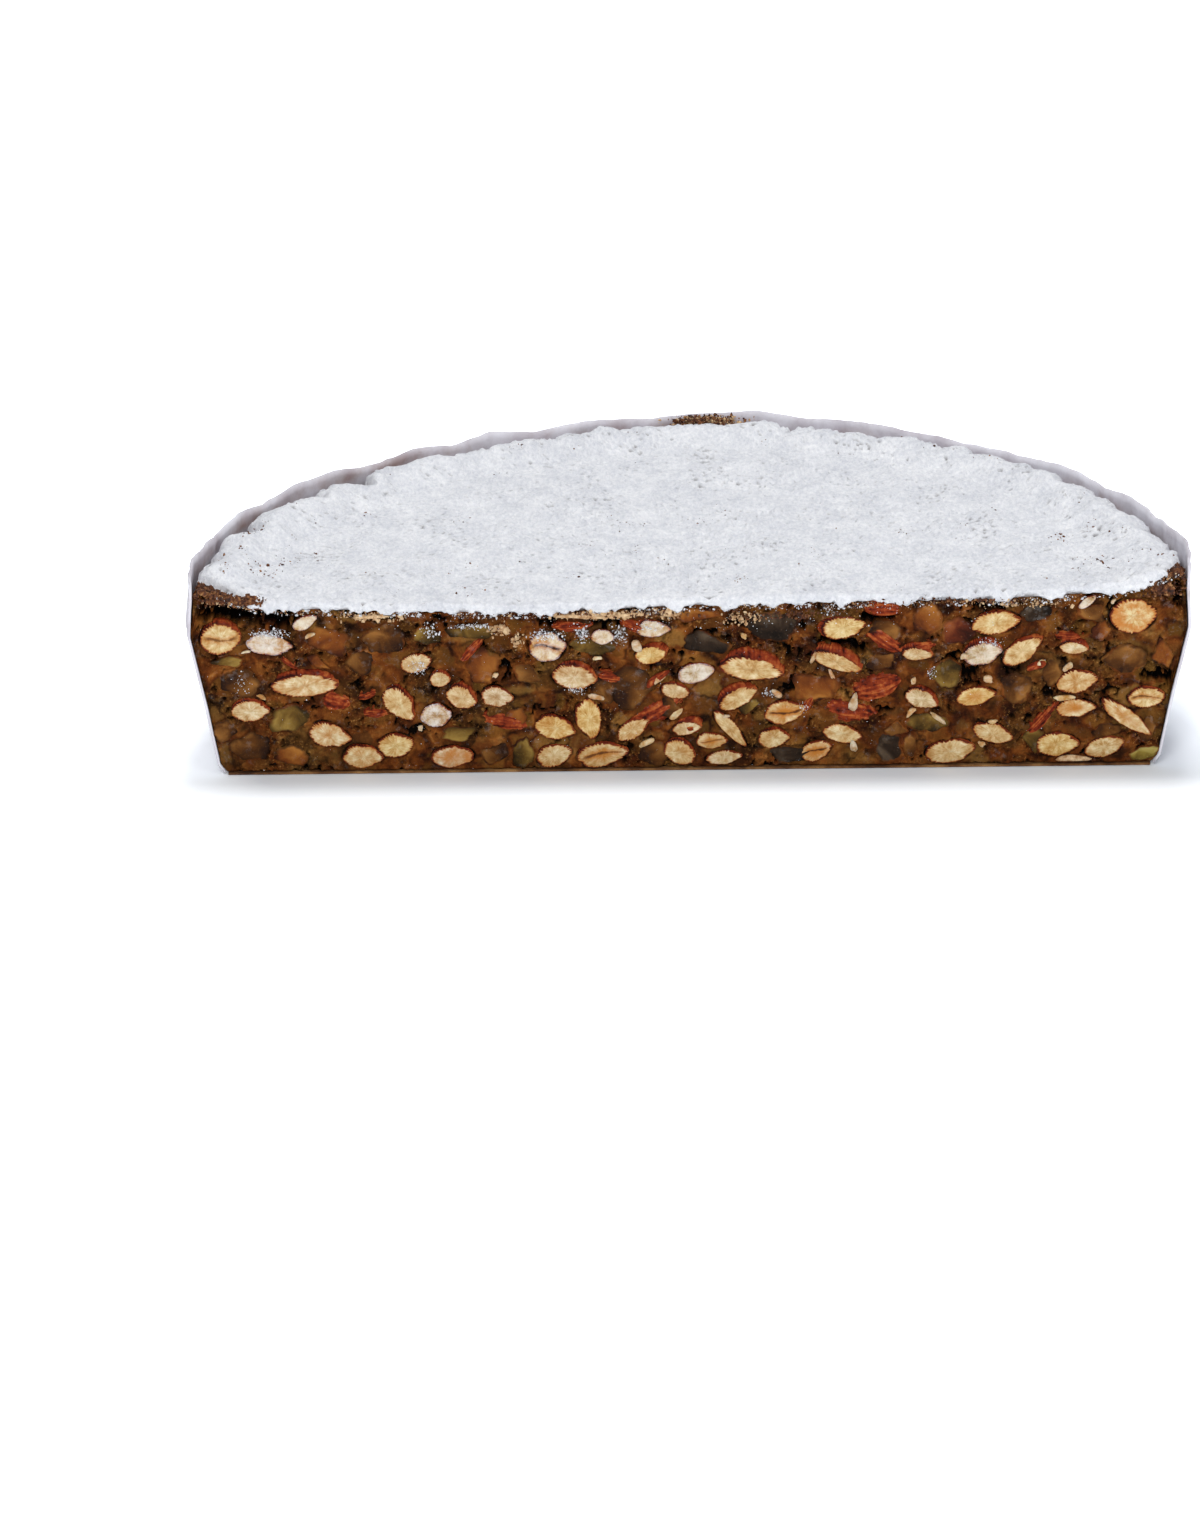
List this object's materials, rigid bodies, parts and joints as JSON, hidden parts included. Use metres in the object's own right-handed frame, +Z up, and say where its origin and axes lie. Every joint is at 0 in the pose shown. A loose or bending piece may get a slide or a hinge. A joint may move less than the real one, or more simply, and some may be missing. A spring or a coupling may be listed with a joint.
{
  "type": "half panforte",
  "caption": "Half of a large round panforte, cut straight across: dark nut and candied fruit cake with a thick icing sugar top, a wafer collar and a wafer base",
  "frame": {"origin": "middle of the bounding box in X and Y, on the surface that the wafer base stands on", "axes": "+X along the straight cut, -Y out of the cut face, +Z up"},
  "size_m": [0.305, 0.1668, 0.0652],
  "materials": {
    "cake": "dense dark honey cake, sticky and slightly glossy where cut",
    "sugar": "thick white icing sugar, powdery and matt",
    "wafer": "thin edible wafer, greyish white, matt",
    "almond": "cut almond kernel, cream to toasted yellow, dull",
    "skin": "red brown ridged almond skin, satin",
    "candied": "candied citron and melon, translucent, glossy"
  },
  "bodies": {
    "root": {"cake": "cake", "icing_sugar": "sugar", "wafer_collar": "wafer", "wafer_base": "wafer", "almond_01": "almond", "almond_02": "almond", "almond_03": "almond", "almond_04": "almond", "almond_05": "almond", "almond_06": "almond", "almond_07": "almond", "almond_08": "almond", "almond_09": "almond", "almond_10": "almond", "almond_11": "almond", "almond_12": "almond", "almond_13": "almond", "almond_14": "almond", "almond_15": "almond", "almond_16": "almond", "almond_17": "almond", "almond_18": "almond", "almond_19": "almond", "almond_20": "almond", "almond_21": "almond", "almond_22": "almond", "almond_23": "almond", "almond_24": "almond", "almond_25": "almond", "almond_26": "almond", "almond_27": "almond", "almond_28": "almond", "almond_29": "almond", "almond_30": "almond", "almond_31": "almond", "almond_32": "almond", "almond_33": "almond", "almond_34": "almond", "almond_35": "almond", "almond_36": "almond", "almond_37": "almond", "almond_38": "almond", "almond_39": "almond", "almond_40": "almond", "almond_41": "almond", "almond_42": "almond", "almond_43": "almond", "almond_44": "almond", "almond_45": "almond", "almond_whole": "skin", "candied_01": "candied", "candied_02": "candied", "candied_03": "candied", "candied_04": "candied", "candied_05": "candied", "candied_06": "candied", "candied_07": "candied", "candied_08": "candied", "candied_09": "candied", "candied_10": "candied"}
  },
  "joints": []
}
